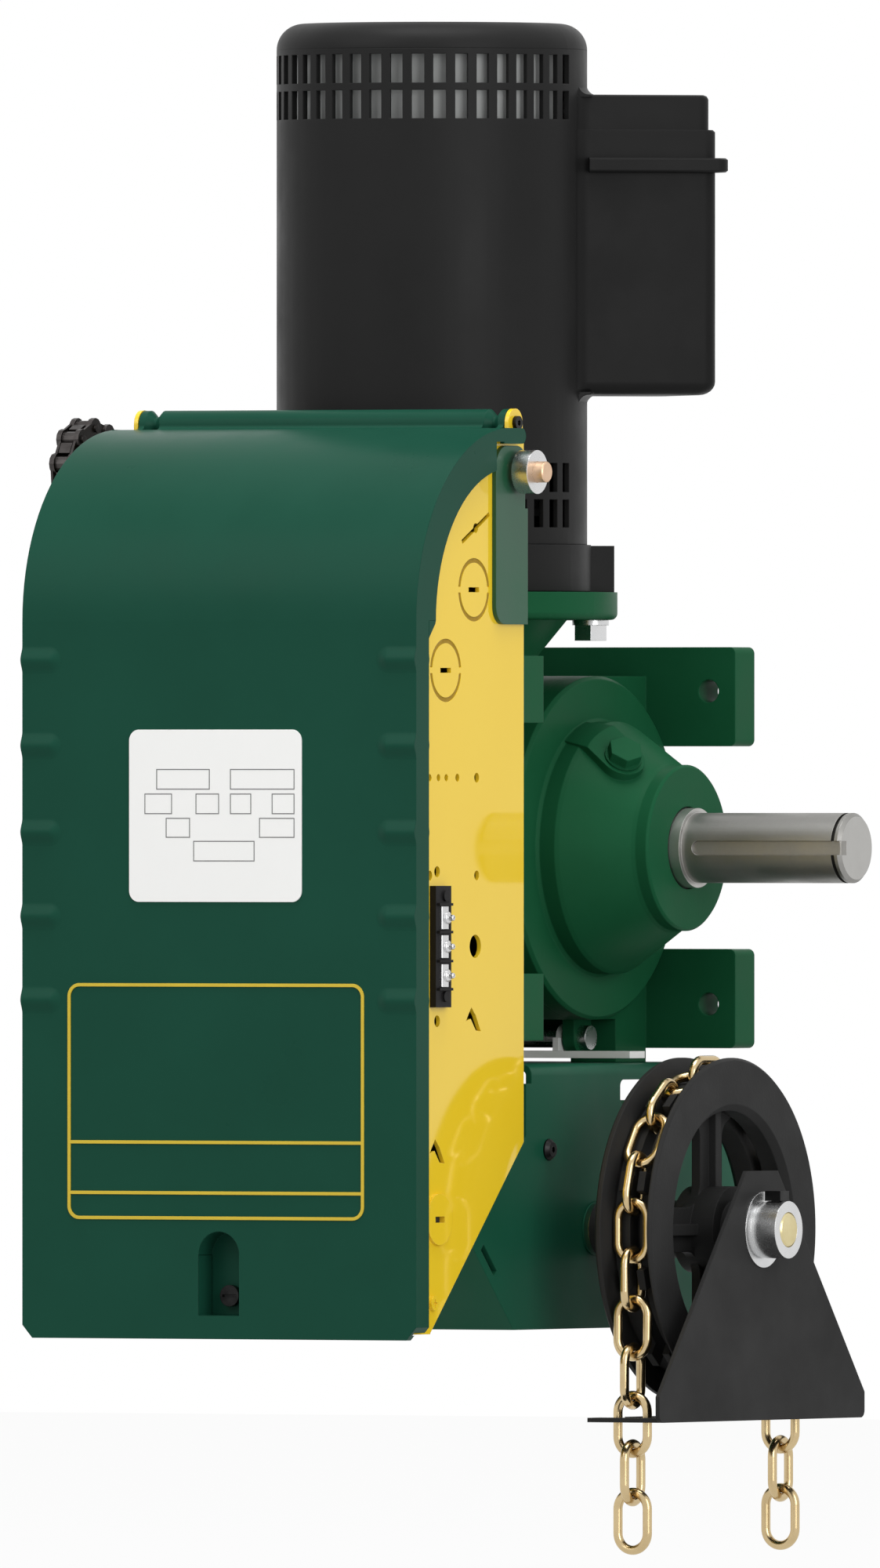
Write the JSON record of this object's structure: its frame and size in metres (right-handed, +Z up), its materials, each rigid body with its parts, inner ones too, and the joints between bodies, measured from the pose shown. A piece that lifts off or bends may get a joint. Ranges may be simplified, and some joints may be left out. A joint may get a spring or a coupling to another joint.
{
  "type": "door operator",
  "caption": "Wall-mounted gearhead door operator: vertical motor on a worm gearbox, hinged control box cover, keyed output shaft, limit chain drive and a hand chain hoist",
  "frame": {"origin": "centre of the four wall holes, in the wall plane, level with the output shaft", "axes": "+X along the output shaft to its driven end, +Y into the wall, +Z up along the motor shaft"},
  "size_m": [0.3219, 0.3265, 0.6901],
  "materials": {
    "housing_green": "green gloss enamel",
    "cover_green": "dark green gloss enamel",
    "box_yellow": "yellow gloss enamel",
    "frame_yellow": "yellow print",
    "plate_white": "white plate",
    "motor_black": "black enamel",
    "core_steel": "laminated steel",
    "baffle_grey": "grey primer",
    "shaft_steel": "ground steel",
    "zinc": "zinc plated",
    "black_screw": "black oxide",
    "bronze": "bronze",
    "copper_shaft": "copper coloured plating",
    "pale_gold": "yellow chromate",
    "chain_gold": "yellow plated chain steel",
    "wheel_black": "black painted casting",
    "bracket_black": "black powder coat",
    "drive_steel": "dark oiled steel",
    "seal_rubber": "black rubber",
    "black_plastic": "moulded black",
    "board_green": "board laminate",
    "winding": "core and winding",
    "nut_white": "moulded nylon"
  },
  "bodies": {
    "frame_body": {"gearbox_housing": "housing_green", "gearbox_cover_right": "housing_green", "gearbox_cover_left": "housing_green", "oil_plugs": "housing_green", "bearing_bridge": "housing_green", "hoist_frame": "housing_green", "limit_brackets": "housing_green", "chassis": "box_yellow", "panel_fittings": "box_yellow", "motor_end_bell": "motor_black", "motor_shell": "motor_black", "motor_cap": "motor_black", "capacitor_box": "motor_black", "capacitor_lid": "motor_black", "motor_stator": "core_steel", "air_baffle": "baffle_grey", "bearings": "shaft_steel", "limit_guide": "shaft_steel", "flange_bolts": "zinc", "box_screws": "zinc", "terminal_screws": "zinc", "guide_bush": "zinc", "lever_bolt": "zinc", "hinge_screws": "black_screw", "frame_screws": "black_screw", "hoist_bushes": "bronze", "hand_chain": "chain_gold", "guide_bracket": "bracket_black", "limit_chain": "drive_steel", "shaft_seals": "seal_rubber", "terminal_block": "black_plastic", "limit_switches": "black_plastic", "contactors": "black_plastic", "circuit_board": "board_green", "transformer": "winding", "limit_nuts": "nut_white"},
    "cover_body": {"cover": "cover_green", "nameplate": "plate_white", "label_frame": "frame_yellow", "cover_screw": "black_screw"},
    "rotor": {"motor_rotor": "core_steel", "motor_fan": "black_plastic", "worm_shaft": "shaft_steel", "worm": "shaft_steel"},
    "output": {"output_shaft": "shaft_steel", "output_key": "shaft_steel", "worm_wheel": "bronze", "shaft_rings": "shaft_steel", "drive_sprocket": "drive_steel"},
    "limit": {"limit_shaft": "copper_shaft", "limit_sprocket": "drive_steel", "limit_collar": "zinc"},
    "hoist": {"hoist_shaft": "pale_gold", "chain_wheel": "wheel_black", "bevel_pinion": "shaft_steel", "hoist_collar": "zinc", "collar_screw": "black_screw"},
    "bevel": {"bevel_gear": "shaft_steel"},
    "lever": {"disconnect_lever": "zinc"},
    "clutch": {"clutch_sleeve": "shaft_steel"}
  },
  "joints": [
    {"name": "cover_hinge", "type": "hinge", "parent": "frame_body", "child": "cover_body", "pos_m": [0, -0.2255, 0.1911], "axis": [-1, 0, 0], "range_deg": [0, 95]},
    {"name": "motor_spin", "type": "hinge", "parent": "frame_body", "child": "rotor", "pos_m": [0, -0.13, 0], "axis": [0, 0, 1], "continuous": true},
    {"name": "output_spin", "type": "hinge", "parent": "frame_body", "child": "output", "pos_m": [0, -0.08, 0], "axis": [1, 0, 0], "continuous": true, "deforming": ["limit_chain"]},
    {"name": "limit_spin", "type": "hinge", "parent": "frame_body", "child": "limit", "pos_m": [0, -0.2281, 0.169], "axis": [1, 0, 0], "continuous": true},
    {"name": "hoist_spin", "type": "hinge", "parent": "frame_body", "child": "hoist", "pos_m": [0, -0.13, -0.1718], "axis": [1, 0, 0], "continuous": true, "deforming": ["hand_chain"]},
    {"name": "bevel_spin", "type": "hinge", "parent": "frame_body", "child": "bevel", "pos_m": [0, -0.13, -0.13], "axis": [0, 0, 1], "continuous": true},
    {"name": "lever_pivot", "type": "hinge", "parent": "frame_body", "child": "lever", "pos_m": [0, -0.06, -0.086], "axis": [1, 0, 0], "range_deg": [0, 2.4]},
    {"name": "clutch_slide", "type": "slide", "parent": "rotor", "child": "clutch", "axis": [0, 0, -1], "range_m": [0, 0.00295]}
  ],
  "couplings": [
    {"joint": "output_spin", "follows": "motor_spin", "ratio": 0.025},
    {"joint": "limit_spin", "follows": "motor_spin", "ratio": 0.0475},
    {"joint": "bevel_spin", "follows": "hoist_spin", "ratio": -1},
    {"joint": "clutch_slide", "follows": "lever_pivot", "m_per_rad": 0.07}
  ]
}
